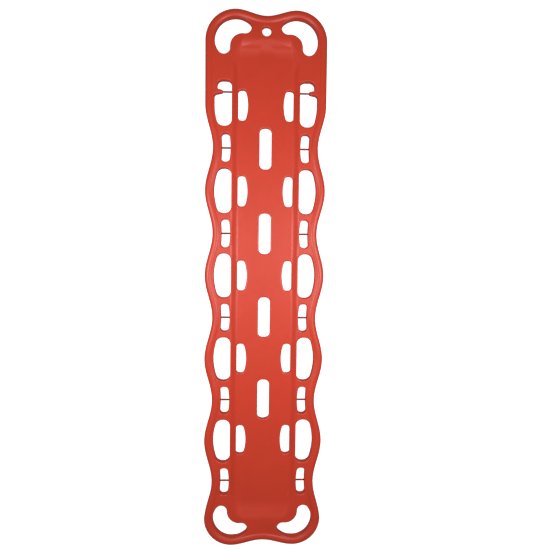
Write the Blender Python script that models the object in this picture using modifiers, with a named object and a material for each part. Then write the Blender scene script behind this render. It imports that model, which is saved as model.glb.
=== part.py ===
"""Spine board: a foam-filled, rotationally moulded long backboard, lying flat, patient side up.

The board stands on the floor on its centre panel. X is across it, Y runs to the head end, Z is up, and
the origin is on the floor under its middle. The seamless shell is modelled in sections that meet face
to face at the handhold rows, with the foam core, the stiffener rods, the strap pins and the plugs as
solids of their own.
"""

import math

import bmesh
import bpy
from mathutils import Matrix, Vector

for leftover in list(bpy.data.objects):
    bpy.data.objects.remove(leftover)

MM = 0.001

# Overall
LENGTH = 1829 * MM
WIDTH = 406 * MM  # across the bulges beside the handholds
HEIGHT = 50 * MM  # floor to the crown of the rim

# Section across the board
WALL = 4 * MM  # moulded wall of the shell
GAP = 0.3 * MM  # between two pieces that touch
PANEL_THICKNESS = 32 * MM  # centre panel, which stands on the floor
FINGER_CLEARANCE = 19 * MM  # floor to the underside of the wings
RIM_RISE = 4 * MM  # crown of the rim above the wings
RIM_RADIUS = 9 * MM  # rounding of the rim, above and below
RIM_CROWN = 16 * MM  # outer edge to where the crown starts to fall
RIM_FALL = 10 * MM  # run of the fall from the crown to the wing
SLOPE_RUN = 27 * MM  # from the panel up to the wing, seen from above
RECESS_END = 92.5 * MM  # end of the board to the top of the recess slope
RECESS_CORNER = 30 * MM

# Outline
WAVE_DEPTH = 26 * MM  # how far the edge comes in at each waist
HEAD_CORNER_RADIUS = 102 * MM
FOOT_CORNER_RADIUS = 95 * MM
HEAD_DIP = 20 * MM  # hollow in the middle of each end
FOOT_DIP = 18 * MM

# Rows of openings along the board
BAYS = 5  # rows of strap slots, with a row of handholds headward of each
HEAD_ZONE = 309.7 * MM  # head end to the first handhold row
FOOT_ZONE = 228.3 * MM  # foot end to the last slot row
WEB = 21.4 * MM  # bridge between a handhold and the slot beside it

# Openings across the board, from the edge inwards
RAIL = 30.5 * MM  # carrying rail between an opening and the edge
HANDHOLD_WIDTH = 58 * MM
HANDHOLD_CORNER = 24 * MM
STRIP = 21.5 * MM  # between the handholds and the inner slots

STRAP_SLOT_LENGTH = 94 * MM
STRAP_SLOT_SETBACK = 3 * MM  # from the strip to the slot's widest point
STRAP_SLOT_FLARE = 3 * MM  # how far its outer side bends out at the ends
STRAP_SLOT_BULGE = 4.5 * MM  # how far its inner side swells at the pin
STRAP_SLOT_CORNER = 12 * MM

INNER_SLOT_LENGTH = 102 * MM
INNER_SLOT_WIDTH = 32.5 * MM
INNER_SLOT_BULGE = 9 * MM
INNER_SLOT_CORNER = 11 * MM

CENTRE_SLOT_LENGTH = 138 * MM
CENTRE_SLOT_WIDTH = 40 * MM
CENTRE_SLOT_CORNER = 17 * MM

# The corner handholds, each between two arcs whose centres are a shift apart
END_RAIL = 26.5 * MM  # carrying rail between a corner handhold and the end
HEAD_GRIP_OUTER = 70.5 * MM  # radius of the arc along the edge
HEAD_GRIP_INNER = 42 * MM  # radius of the arc towards the panel
HEAD_GRIP_TIP = 21 * MM
HEAD_GRIP_SHIFT = Vector((22.5 * MM, 23.7 * MM))
FOOT_GRIP_OUTER = 67.5 * MM
FOOT_GRIP_INNER = 42.5 * MM
FOOT_GRIP_TIP = 20 * MM
FOOT_GRIP_SHIFT = Vector((24 * MM, 27 * MM))

HEAD_HANDHOLD_SHIFT = 3 * MM  # the upper handholds sit headward of their row
HEAD_PIN_SETBACK = 36.5 * MM  # handhold's head end to its pin
HEAD_HOLD_STEP = 10 * MM  # the part above the pin is this much narrower
HEAD_HOLD_CORNER = 18 * MM
NOSE_REACH = 27 * MM  # moulded nose that seats the head pin, from the rail
NOSE_TIP = 4.6 * MM  # half its thickness at the tip
NOSE_TIP_CORNER = 2.3 * MM
NOSE_ROOT = 8.5 * MM  # half its thickness at the rail
NOSE_FILLET = 8 * MM

HANGING_HOLE_DIAMETER = 30 * MM
HANGING_HOLE_SETBACK = 72 * MM  # head end to its centre

# Pieces that the shell holds
PIN_DIAMETER = 6 * MM
PIN_SEAT = 7 * MM  # how deep each end sits in the shell and core
ROD_DIAMETER = 7 * MM
ROD_COVER = 1.2 * MM  # foam between a rod and the wall of the inner slots
ROD_END = 114.5 * MM  # end of the board to the end of a rod
FILL_PLUG_DIAMETER = 24 * MM
VENT_PLUG_DIAMETER = 12 * MM
PLUG_SINK = 0.5 * MM  # plugs sit this far inside the underside
FILL_PLUG_SETBACK = 300 * MM  # foot end to the fill plug
VENT_SETBACK = 200 * MM  # each end to its vent plug

# Fineness
WAVE_STEPS = 8  # points of the edge along one pitch
DIP_STEPS = 4
HANDHOLD_SHARE = 0.22  # of a handhold's length, from its row to each point on its rail side
HEAD_HANDHOLD_SHARES = (0.43, 0.72)  # the same points, from its foot end to the nose
SLOT_SHARES = (1, 0.5, 0, -0.5, -1)  # of half a slot's length, down its swelling side
FINE_STEP = math.radians(25)  # large arcs
COARSE_STEP = math.radians(45)  # small arcs
ROUND_STEPS = 10  # sides of a pin or a rod
HOLE_STEPS = 16  # sides of a plug or of the hanging hole
RIM_STEPS = 2  # of the rounding outside; the hollow has a plain chamfer
RIM_TURN = math.radians(60)  # an edge that turns more than this belongs to the rim
STEP_SLACK = 0.01  # of a step, so that a rounding error adds no point
CORNER_LIMIT = 0.98  # of the room for a corner that the sides beside it leave
MARGIN = 10 * MM  # how far a cutter runs past what it cuts
CROWN_MARGIN = 1 * MM  # the same for the cutter that dishes the rim

# Worked out from the above
HALF_LENGTH = LENGTH / 2
HALF_WIDTH = WIDTH / 2
WING_TOP = HEIGHT - RIM_RISE
PITCH = (LENGTH - HEAD_ZONE - FOOT_ZONE) / (BAYS - 0.5)
HANDHOLD_ROWS = [HALF_LENGTH - HEAD_ZONE - bay * PITCH for bay in range(BAYS)]
SLOT_ROWS = [row - PITCH / 2 for row in HANDHOLD_ROWS]
HANDHOLD_LENGTH = PITCH - STRAP_SLOT_LENGTH - 2 * WEB
STRIP_OUTER = HALF_WIDTH - RAIL - HANDHOLD_WIDTH
STRIP_INNER = STRIP_OUTER - STRIP
PIN_HEIGHT = (FINGER_CLEARANCE + WING_TOP) / 2


def half_width(y):
    """Half the board's width at y: a wave below the first handhold row, straight above it."""
    phase = 2 * math.pi * (min(y, HANDHOLD_ROWS[0]) - HANDHOLD_ROWS[0]) / PITCH
    return HALF_WIDTH - WAVE_DEPTH / 2 * (1 - math.cos(phase))


HEAD_CORNER = Vector((HALF_WIDTH - HEAD_CORNER_RADIUS, HALF_LENGTH - HEAD_CORNER_RADIUS))
FOOT_CORNER = Vector((0, FOOT_CORNER_RADIUS - HALF_LENGTH))
FOOT_CORNER.x = half_width(FOOT_CORNER.y) - FOOT_CORNER_RADIUS


# Flat loops of points, counterclockwise


def arc(centre, radius, start, end, step):
    """Points about centre from angle start to angle end, both included."""
    count = max(1, math.ceil(abs(end - start) / step - STEP_SLACK))
    angles = [start + (end - start) * i / count for i in range(count + 1)]
    return [centre + radius * Vector((math.cos(angle), math.sin(angle))) for angle in angles]


def rounded(corners, step=COARSE_STEP):
    """The closed loop through corners of (x, y, radius), each rounded to its radius or to what fits."""
    loop = []
    points = [Vector(corner[:2]) for corner in corners]
    for i, here in enumerate(points):
        radius = corners[i][2]
        if not radius:
            loop.append(here)
            continue
        back = (points[i - 1] - here).normalized()
        onward = (points[(i + 1) % len(points)] - here).normalized()
        half = back.angle(onward) / 2
        beside = [((i + turn) % len(points)) for turn in (-1, 1)]
        room = min((points[j] - here).length * radius / (radius + corners[j][2]) for j in beside)
        radius = min(radius, CORNER_LIMIT * room * math.tan(half))
        centre = here + (back + onward).normalized() * radius / math.sin(half)
        start = (back * radius / math.tan(half) + here - centre).normalized()
        sweep = math.copysign(math.pi - 2 * half, onward.cross(back))
        angle = math.atan2(start.y, start.x)
        loop += arc(centre, radius, angle, angle + sweep, step)
    return loop


def offset(loop, distance):
    """The loop moved outward by distance, with its corners kept sharp."""
    moved = []
    for i, here in enumerate(loop):
        first = (here - loop[i - 1]).normalized()
        second = (loop[(i + 1) % len(loop)] - here).normalized()
        outward = Vector((first.y + second.y, -first.x - second.x))
        moved.append(here + outward * distance / (1 + first.dot(second)))
    return moved


def mirrored(loop, axis):
    """The loop mirrored in x (axis 0) or y (axis 1), still counterclockwise."""
    flip = Vector((-1, 1)) if axis == 0 else Vector((1, -1))
    return [point * flip for point in reversed(loop)]


def rectangle(half_x, half_y, corner, step=COARSE_STEP):
    """A rounded rectangle about the origin."""
    signs = ((1, -1), (1, 1), (-1, 1), (-1, -1))
    return rounded([(half_x * x, half_y * y, corner) for x, y in signs], step)


def circle(x, y, radius, steps):
    return arc(Vector((x, y)), radius, 0, 2 * math.pi, 2 * math.pi / steps)[:-1]


def dip(apex, depth):
    """The hollow in the middle of an end, from the centre line out to just before its apex."""
    xs = [apex * i / DIP_STEPS for i in range(DIP_STEPS)]
    return [Vector((x, HALF_LENGTH - depth * (1 + math.cos(math.pi * x / apex)) / 2)) for x in xs]


def outline():
    """The edge of the board."""
    foot = [Vector((point.x, -point.y)) for point in dip(FOOT_CORNER.x, FOOT_DIP)]
    foot += arc(FOOT_CORNER, FOOT_CORNER_RADIUS, -math.pi / 2, 0, FINE_STEP)
    head = arc(HEAD_CORNER, HEAD_CORNER_RADIUS, 0, math.pi / 2, FINE_STEP)
    head += reversed(dip(HEAD_CORNER.x, HEAD_DIP))
    step = PITCH / WAVE_STEPS
    count = round((HANDHOLD_ROWS[0] - FOOT_CORNER.y) / step) - 1  # clear of the foot corner
    ys = [HANDHOLD_ROWS[0] - i * step for i in range(count, -1, -1)]
    right = foot + [Vector((half_width(y), y)) for y in ys] + head
    return right + mirrored(right[1:-1], 0)


# The openings on the right-hand side (+X), and those on the centre line


def handhold(row):
    """A carrying handhold: straight along the strip, parallel to the edge along the rail."""
    low, high = row - HANDHOLD_LENGTH / 2, row + HANDHOLD_LENGTH / 2
    sides = [row + HANDHOLD_LENGTH * share for share in (-HANDHOLD_SHARE, 0, HANDHOLD_SHARE)]
    corners = [(STRIP_OUTER, high, HANDHOLD_CORNER), (STRIP_OUTER, low, HANDHOLD_CORNER)]
    corners.append((half_width(low) - RAIL, low, HANDHOLD_CORNER))
    corners += [(half_width(y) - RAIL, y, 0) for y in sides]
    corners.append((half_width(high) - RAIL, high, HANDHOLD_CORNER))
    return rounded(corners)


def head_pin_y():
    return HANDHOLD_ROWS[0] + HEAD_HANDHOLD_SHIFT + HANDHOLD_LENGTH / 2 - HEAD_PIN_SETBACK


def head_handhold(nose):
    """An upper handhold, with or without the nose that reaches in from the rail to seat its pin."""
    row = HANDHOLD_ROWS[0] + HEAD_HANDHOLD_SHIFT
    low, high = row - HANDHOLD_LENGTH / 2, row + HANDHOLD_LENGTH / 2
    outer, pin = HALF_WIDTH - RAIL, head_pin_y()
    tip, upper = outer - NOSE_REACH, outer - HEAD_HOLD_STEP
    corners = [(STRIP_OUTER, high, HEAD_HOLD_CORNER), (STRIP_OUTER, low, HANDHOLD_CORNER)]
    corners.append((half_width(low) - RAIL, low, HANDHOLD_CORNER))
    ys = [low + (pin - NOSE_ROOT - low) * share for share in HEAD_HANDHOLD_SHARES]
    corners += [(half_width(y) - RAIL, y, 0) for y in ys]
    corners.append((outer, pin - NOSE_ROOT, NOSE_FILLET))
    if nose:
        corners += [(tip, pin + side * NOSE_TIP, NOSE_TIP_CORNER) for side in (-1, 1)]
    corners.append((upper, pin + NOSE_ROOT, NOSE_FILLET))
    corners.append((upper, high, HEAD_HOLD_CORNER))
    return rounded(corners)


def strap_slot(row):
    """An outer slot, which a pin crosses at its widest point."""
    half = STRAP_SLOT_LENGTH / 2
    inner = STRIP_OUTER + STRAP_SLOT_SETBACK
    outer = half_width(row) - RAIL
    corners = []
    for share in SLOT_SHARES:
        corner = STRAP_SLOT_CORNER if abs(share) == 1 else 0
        corners.append((inner + STRAP_SLOT_BULGE * share**2, row + half * share, corner))
    for share in (-1, 0, 1):
        corner = STRAP_SLOT_CORNER if share else 0
        corners.append((outer + STRAP_SLOT_FLARE * share**2, row + half * share, corner))
    return rounded(corners)


def inner_slot(row):
    """A slot in the panel, straight along the strip and swelling towards the centre line."""
    half = INNER_SLOT_LENGTH / 2
    inner = STRIP_INNER - INNER_SLOT_WIDTH
    corners = []
    for share in SLOT_SHARES:
        corner = INNER_SLOT_CORNER if abs(share) == 1 else 0
        corners.append((inner + INNER_SLOT_BULGE * share**2, row + half * share, corner))
    corners += [(STRIP_INNER, row + half * share, INNER_SLOT_CORNER) for share in (-1, 1)]
    return rounded(corners)


def centre_slot(row):
    slot = rectangle(CENTRE_SLOT_WIDTH / 2, CENTRE_SLOT_LENGTH / 2, CENTRE_SLOT_CORNER)
    return [point + Vector((0, row)) for point in slot]


def corner_hold(edge_x, outer, inner, tip, shift):
    """A kidney-shaped corner handhold at the head, where the board's edge is at edge_x: between an arc
    along the edge and a smaller arc about a centre nearer the panel, with a round tip at each end."""
    centre = Vector((edge_x - RAIL - outer, HALF_LENGTH - END_RAIL - outer))
    near = centre - shift
    apart = shift.length
    reach = outer - tip  # from centre to the middle of each tip
    along = (reach**2 - (inner + tip) ** 2 + apart**2) / (2 * apart)
    aside = math.sqrt(reach**2 - along**2)
    back = -shift.normalized()
    middles = [centre + back * along + back.orthogonal() * aside * sign for sign in (-1, 1)]
    low, high = sorted(middles, key=lambda middle: middle.y)

    def heading(start, end):
        return math.atan2(end.y - start.y, end.x - start.x)

    def tip_arc(middle, start, end):
        return arc(middle, tip, start, end + (2 * math.pi if end < start else 0), COARSE_STEP)

    loop = arc(centre, outer, heading(centre, low), heading(centre, high), FINE_STEP)
    loop += tip_arc(high, heading(centre, high), heading(high, near))[1:]
    loop += arc(near, inner, heading(near, high), heading(near, low), FINE_STEP)[1:]
    loop += tip_arc(low, heading(low, near), heading(centre, low))[1:-1]
    return loop


def openings(grown, nose):
    """Every opening through the board as a loop, grown all round."""
    right = [handhold(row) for row in HANDHOLD_ROWS[1:]]
    right += [strap_slot(row) for row in SLOT_ROWS]
    right += [inner_slot(row) for row in HANDHOLD_ROWS]
    right.append(head_handhold(nose))
    head = (HEAD_GRIP_OUTER, HEAD_GRIP_INNER, HEAD_GRIP_TIP, HEAD_GRIP_SHIFT)
    right.append(corner_hold(HALF_WIDTH, *head))
    foot = (FOOT_GRIP_OUTER, FOOT_GRIP_INNER, FOOT_GRIP_TIP, FOOT_GRIP_SHIFT)
    right.append(mirrored(corner_hold(half_width(FOOT_CORNER.y), *foot), 1))
    middle = [centre_slot(row) for row in SLOT_ROWS[:-1]]
    hanging_y = HALF_LENGTH - HANGING_HOLE_SETBACK
    middle.append(circle(0, hanging_y, HANGING_HOLE_DIAMETER / 2, HOLE_STEPS))
    return [offset(loop, grown) for loop in right + [mirrored(loop, 0) for loop in right] + middle]


# Solids


def new_object(name, mesh, material=None):
    """The object in the board's collection where it has a material, and in the cutters' otherwise."""
    item = bpy.data.objects.new(name, mesh)
    if material:
        mesh.materials.append(material)
        PARTS.objects.link(item)
    else:
        item.hide_render = True
        item.display_type = "WIRE"
        CUTTERS.objects.link(item)
    return item


def mesh_of(name, shape):
    """The mesh of a bmesh whose faces are turned outward."""
    bmesh.ops.recalc_face_normals(shape, faces=shape.faces[:])
    mesh = bpy.data.meshes.new(name)
    shape.to_mesh(mesh)
    shape.free()
    return mesh


def loft(name, pairs):
    """A solid from each pair of levels: (lower loop, its height, upper loop, its height)."""
    shape = bmesh.new()
    for lower, bottom, upper, top in pairs:
        before = set(shape.edges)
        for loop, height in ((lower, bottom), (upper, top)):
            shape.faces.new([shape.verts.new((point.x, point.y, height)) for point in loop])
        rings = [edge for edge in shape.edges if edge not in before]
        bmesh.ops.bridge_loops(shape, edges=rings)
    return mesh_of(name, shape)


def prism(name, loops, bottom, top):
    """Upright solids between two heights, one from each loop."""
    return loft(name, [(loop, bottom, loop, top) for loop in loops])


def box(name, low, high, material=None):
    shape = bmesh.new()
    size = [b - a for a, b in zip(low, high)]
    middle = [(a + b) / 2 for a, b in zip(low, high)]
    bmesh.ops.create_cube(shape, size=1, matrix=Matrix.Translation(middle) @ Matrix.Diagonal((*size, 1)))
    return new_object(name, mesh_of(name, shape), material)


def combine(target, operation, tool):
    modifier = target.modifiers.new(f"{operation.lower()} {tool.name}", "BOOLEAN")
    modifier.operation = operation
    modifier.object = tool
    modifier.solver = "EXACT"


def slope_shift(depth, rise, run):
    """How far the foot of a slope moves sideways when both faces there move in by depth."""
    return depth * math.tan(math.atan2(rise, run) / 2)


def board_blank(name, depth):
    """The whole board at a depth inside its outer faces: 0 is the outside, WALL is the inside.

    Only the outside has the raised rim, so the wall is thicker under its crown.
    """
    outside = depth == 0
    edge = outline()
    top = HEIGHT if outside else WING_TOP - depth
    underside = FINGER_CLEARANCE + depth
    above = HEIGHT + MARGIN

    blank = new_object(name, prism(name, [offset(edge, -depth)], underside, top))
    rim = blank.modifiers.new("rim", "BEVEL")
    rim.width = RIM_RADIUS - depth
    rim.segments = RIM_STEPS if outside else 1
    rim.limit_method = "ANGLE"
    rim.angle_limit = RIM_TURN

    floor = PANEL_THICKNESS - depth
    rise = WING_TOP - PANEL_THICKNESS
    panel = rectangle(STRIP_OUTER - SLOPE_RUN, HALF_LENGTH - RECESS_END - SLOPE_RUN, RECESS_CORNER)
    panel = offset(panel, slope_shift(depth, rise, SLOPE_RUN))
    recess = (panel, floor, offset(panel, (above - floor) * SLOPE_RUN / rise), above)

    keel_foot = rectangle(STRIP_OUTER - SLOPE_RUN, HALF_LENGTH - RECESS_END, RECESS_CORNER)
    keel_foot = offset(keel_foot, -slope_shift(depth, FINGER_CLEARANCE, SLOPE_RUN))
    keel_top = underside + WALL
    keel_run = (keel_top - depth) * SLOPE_RUN / FINGER_CLEARANCE
    keel = (keel_foot, depth, offset(keel_foot, keel_run), keel_top)

    combine(blank, "UNION", new_object(f"{name}_keel", loft(f"{name}_keel", [keel])))
    if outside:
        fall = offset(edge, -RIM_CROWN - RIM_FALL)
        spread = RIM_FALL * (RIM_RISE + CROWN_MARGIN) / RIM_RISE
        dish = (fall, WING_TOP, offset(fall, spread), HEIGHT + CROWN_MARGIN)
        combine(blank, "DIFFERENCE", new_object(f"{name}_dish", loft(f"{name}_dish", [dish])))
    combine(blank, "DIFFERENCE", new_object(f"{name}_recess", loft(f"{name}_recess", [recess])))
    through = prism(f"{name}_openings", openings(depth, nose=outside), -MARGIN, above)
    combine(blank, "DIFFERENCE", new_object(f"{name}_openings", through))
    return blank


def cylinders(places, axis, length, diameter, name, steps):
    """One mesh of equal cylinders along X, Y or Z, centred at places."""
    turn = {"X": Matrix.Rotation(math.pi / 2, 4, "Y"), "Y": Matrix.Rotation(math.pi / 2, 4, "X")}
    shape = bmesh.new()
    for place in places:
        bmesh.ops.create_cone(
            shape,
            cap_ends=True,
            segments=steps,
            radius1=diameter / 2,
            radius2=diameter / 2,
            depth=length,
            matrix=Matrix.Translation(place) @ turn.get(axis, Matrix.Identity(4)),
        )
    return mesh_of(name, shape)


def material(name, colour, roughness, metallic=0.0):
    finish = bpy.data.materials.new(name)
    finish.use_nodes = True
    shader = finish.node_tree.nodes["Principled BSDF"]
    shader.inputs["Base Color"].default_value = (*colour, 1)
    shader.inputs["Roughness"].default_value = roughness
    shader.inputs["Metallic"].default_value = metallic
    finish.diffuse_color = (*colour, 1)
    return finish


# The pieces


def build_shell(shell, bores):
    """The shell's sections: the head, a bay about each of the first strap slot rows, and the foot."""
    edges = [HALF_LENGTH + MARGIN] + HANDHOLD_ROWS + [-HALF_LENGTH - MARGIN]
    names = ["shell_head"] + [f"shell_bay_{bay + 1}" for bay in range(BAYS - 1)] + ["shell_foot"]
    for name, high, low in zip(names, edges, edges[1:]):
        low_corner = (-WIDTH, low + GAP / 2, -MARGIN)
        section = box(name, low_corner, (WIDTH, high - GAP / 2, HEIGHT + MARGIN), SHELL_PLASTIC)
        combine(section, "INTERSECT", shell)
        for bore in bores:
            combine(section, "DIFFERENCE", bore)


def pin_spans():
    """(name, row, inner end, outer end) of each pin on the right-hand side."""
    spans = []
    for number, row in enumerate(SLOT_ROWS, 1):
        inner = STRIP_OUTER + STRAP_SLOT_SETBACK - PIN_SEAT
        spans.append((f"strap_pin_{number}", row, inner, half_width(row) - RAIL + PIN_SEAT))
    outer = HALF_WIDTH - RAIL - NOSE_REACH + PIN_SEAT
    spans.append(("head_pin", head_pin_y(), STRIP_OUTER - PIN_SEAT, outer))
    return spans


def build_pins():
    """The pins, and the cutters that bore their seats."""
    bores = []
    for name, row, inner, outer in pin_spans():
        places = {side: (sign * (inner + outer) / 2, row, PIN_HEIGHT) for side, sign in SIDES}
        for side, place in places.items():
            mesh = cylinders([(0, 0, 0)], "X", outer - inner, PIN_DIAMETER, name, ROUND_STEPS)
            pin = new_object(f"{name}_{side}", mesh, PIN_METAL)
            pin.location = place
        bore_length, bore = outer - inner + 2 * GAP, PIN_DIAMETER + 2 * GAP
        mesh = cylinders(places.values(), "X", bore_length, bore, f"{name}_bores", ROUND_STEPS)
        bores.append(new_object(f"{name}_bores", mesh))
    return bores


def build_rods():
    """The stiffener rods, one along each strip, and the cutter for their channels in the core."""
    x = STRIP_INNER + WALL + GAP + ROD_COVER + GAP + ROD_DIAMETER / 2
    share = (x - STRIP_OUTER + SLOPE_RUN) / SLOPE_RUN
    above = PANEL_THICKNESS + (WING_TOP - PANEL_THICKNESS) * share
    z = (above + FINGER_CLEARANCE * share) / 2
    places = {side: (sign * x, 0, z) for side, sign in SIDES}
    for side, place in places.items():
        length = LENGTH - 2 * ROD_END
        mesh = cylinders([(0, 0, 0)], "Y", length, ROD_DIAMETER, "stiffener_rod", ROUND_STEPS)
        rod = new_object(f"stiffener_rod_{side}", mesh, ROD_COMPOSITE)
        rod.location = place
    # The channels run on until they open in the corner handholds' walls.
    length = 2 * (HALF_LENGTH - END_RAIL - 2 * HEAD_GRIP_TIP)
    channel = ROD_DIAMETER + 2 * GAP
    mesh = cylinders(places.values(), "Y", length, channel, "rod_channels", ROUND_STEPS)
    return new_object("rod_channels", mesh)


def build_plugs():
    """The plugs in the underside, and the cutter for their holes."""
    height = WALL - PLUG_SINK
    plugs = (
        ("fill_plug", FILL_PLUG_SETBACK - HALF_LENGTH, FILL_PLUG_DIAMETER),
        ("vent_plug_head", HALF_LENGTH - VENT_SETBACK, VENT_PLUG_DIAMETER),
        ("vent_plug_foot", VENT_SETBACK - HALF_LENGTH, VENT_PLUG_DIAMETER),
    )
    holes = []
    for name, y, diameter in plugs:
        mesh = cylinders([(0, 0, 0)], "Z", height, diameter, name, HOLE_STEPS)
        plug = new_object(name, mesh, PLUG_PLASTIC)
        plug.location = (0, y, PLUG_SINK + height / 2)
        hole = circle(0, y, diameter / 2 + GAP, HOLE_STEPS)
        holes.append((hole, -MARGIN, hole, WALL + GAP / 2))
    return new_object("plug_holes", loft("plug_holes", holes))


def build():
    bores = build_pins()
    channels = build_rods()
    holes = build_plugs()
    shell = board_blank("shell_whole", 0)
    combine(shell, "DIFFERENCE", board_blank("shell_hollow", WALL))
    build_shell(shell, bores + [holes])
    core = board_blank("foam_core", WALL + GAP)
    CUTTERS.objects.unlink(core)
    PARTS.objects.link(core)
    core.hide_render = False
    core.display_type = "TEXTURED"
    core.data.materials.append(CORE_FOAM)
    for tool in bores + [channels]:
        combine(core, "DIFFERENCE", tool)


def collection(name):
    made = bpy.data.collections.new(name)
    bpy.context.scene.collection.children.link(made)
    return made


SIDES = (("left", -1), ("right", 1))
PARTS = collection("spine_board")
CUTTERS = collection("cutters")
SHELL_PLASTIC = material("moulded_polyethylene", (0.66, 0.075, 0.045), 0.42)
PIN_METAL = material("pin_metal", (0.12, 0.05, 0.05), 0.35, 1.0)
CORE_FOAM = material("rigid_foam", (0.80, 0.70, 0.45), 0.9)
ROD_COMPOSITE = material("pultruded_composite", (0.05, 0.05, 0.05), 0.5)
PLUG_PLASTIC = material("plug_plastic", (0.45, 0.05, 0.03), 0.5)

build()
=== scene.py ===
"""Looks of the spine board: its seamless moulded shell, strap pins, plugs, filling and stage.

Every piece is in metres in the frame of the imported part: X across the board, Y to the head end and
Z up.
"""

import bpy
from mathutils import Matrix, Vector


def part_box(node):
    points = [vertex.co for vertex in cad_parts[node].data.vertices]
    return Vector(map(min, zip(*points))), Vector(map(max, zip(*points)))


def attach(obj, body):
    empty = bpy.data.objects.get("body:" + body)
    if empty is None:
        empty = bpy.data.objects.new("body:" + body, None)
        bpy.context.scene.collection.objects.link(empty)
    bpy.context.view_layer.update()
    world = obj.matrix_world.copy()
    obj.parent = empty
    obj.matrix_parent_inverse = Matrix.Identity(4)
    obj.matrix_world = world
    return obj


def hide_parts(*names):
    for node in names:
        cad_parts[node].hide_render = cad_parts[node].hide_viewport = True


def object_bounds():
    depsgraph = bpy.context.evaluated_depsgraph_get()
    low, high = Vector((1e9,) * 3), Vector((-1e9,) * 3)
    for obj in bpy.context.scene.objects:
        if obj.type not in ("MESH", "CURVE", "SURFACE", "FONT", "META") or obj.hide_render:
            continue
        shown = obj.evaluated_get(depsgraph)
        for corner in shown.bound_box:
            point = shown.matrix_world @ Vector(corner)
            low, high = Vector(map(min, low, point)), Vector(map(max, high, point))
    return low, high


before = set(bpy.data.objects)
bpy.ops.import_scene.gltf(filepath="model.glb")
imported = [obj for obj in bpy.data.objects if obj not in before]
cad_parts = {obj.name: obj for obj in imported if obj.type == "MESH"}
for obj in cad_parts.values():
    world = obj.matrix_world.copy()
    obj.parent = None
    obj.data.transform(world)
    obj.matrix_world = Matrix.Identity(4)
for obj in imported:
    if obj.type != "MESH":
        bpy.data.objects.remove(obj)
CAD_BOUNDS = [list(corner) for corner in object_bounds()]

import math

import bmesh
import bpy
import numpy as np
from bpy.props import FloatProperty, FloatVectorProperty, PointerProperty
from bpy.types import Operator, Panel, PropertyGroup
from mathutils import Vector

bl_info = {
    "name": "Spine Board",
    "version": (1, 0, 0),
    "blender": (4, 5, 0),
    "location": "3D View > Sidebar > Spine Board",
    "description": "Builds the looks of a moulded spine board over its packed frame",
    "category": "Object",
}

MM = 0.001
SHELL_NODES = sorted(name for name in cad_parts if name.startswith("shell_"))
PIN_NODES = sorted(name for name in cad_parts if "_pin" in name)
PLUG_NODES = sorted(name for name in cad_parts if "plug" in name)
ROD_NODES = sorted(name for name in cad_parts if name.startswith("stiffener"))
BOARD_WIDTH, BOARD_LENGTH, BOARD_HEIGHT = (high - low for low, high in zip(*CAD_BOUNDS))

BAYS = 5  # rows of strap slots

# Fineness of the shell
EDGE_SPACING = 6.8 * MM  # between the points of an edge
ARC_STEP = math.radians(11)
FLARE_STEPS = 5
FLARE_DIGITS = 6  # rings of a flare that agree to this many decimals of a metre are one ring
NORMAL_WEIGHT = 60  # how strongly the large faces keep their shading level
SHOULDER_POINTS, CROWN_POINTS, GUTTER_POINTS = 7, 12, 4  # across the rim
HANDHOLD_POINTS, HEAD_HANDHOLD_POINTS = 15, 9  # along a handhold's rail side
STRAP_SLOT_POINTS, INNER_SLOT_POINTS = 13, 17  # along a slot's curved sides
SLOPE_SAMPLES = 401
SLOPE_CUT = 4.3 * MM  # between the cuts that let the slopes curve
END_CUT_SPREAD = 1.2  # the cuts for the end slopes are this much wider apart
CUT_MARGIN = 1.5  # spacings that the cuts run past each slope
CUT_SNAP = 0.02 * MM  # a cut this near a point goes through it
CORNER_LIMIT = 0.98  # of the room for a corner that the sides beside it leave
FLAT_MARGIN = 0.8 * MM  # flat band outside each flare, which keeps the shading there level

# Details of the handholds and slots
HANDHOLD_STRAIGHT = 1.15  # corner radii from a handhold's end to the first point of its rail side
HEAD_HANDHOLD_STRAIGHT = 28 * MM  # the same length on an upper handhold
HEAD_HANDHOLD_SHIFT = 3 * MM  # the upper handholds sit headward of their row
HEAD_HANDHOLD_STEP = 10 * MM  # the part above the pin is this much narrower
HEAD_HANDHOLD_CORNER = 17 * MM
HEAD_HANDHOLD_FLARE = 3.2 * MM
STRAP_SLOT_SETBACK = 3 * MM  # from the strip to the slot's widest point
STRAP_SLOT_BULGE = 4.5 * MM  # how far its inner side swells at the pin
STRAP_SLOT_FLARE = 3 * MM  # how far its outer side bends out at the ends
STRAP_SLOT_CURVE = 0.7  # of its half length that its curved sides take up
INNER_SLOT_BULGE = 9 * MM
INNER_SLOT_CORNER = 11 * MM
INNER_SLOT_CURVE = 0.74
CENTRE_SLOT_CORNER = 17 * MM

# The nose that seats each head pin
NOSE_FILLET = 10 * MM  # where it leaves the rail, below the pin
NOSE_TOP_FILLET = 6 * MM
NOSE_TOP_STEP = 1 * MM  # its root is this much thinner above the pin
NOSE_TIP_ROUNDING = 0.8  # of half the tip's thickness
NOSE_THINNING = 5.5 * MM  # taken off its top and its underside at the tip
NOSE_RUN = 32 * MM  # length over which it thins
NOSE_END = 36 * MM  # from the rail to where the thinning stops
NOSE_HALF_WIDTH = 17 * MM  # the thinning stops this far to either side of the pin
NOSE_SIDE_RUN = 8 * MM  # and fades over this much before it
NOSE_CURVE = 1.5  # power of the distance from the rail with which it thins

# Section of the rim and the slopes
CROWN_TURN = math.radians(37.5)  # where the crown gives way to the gutter
SLOPE_CURL = 0.5  # share of its run over which a slope steepens
SLOPE_CRISP = 0.09  # share of its run over which it levels off at the top

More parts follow.
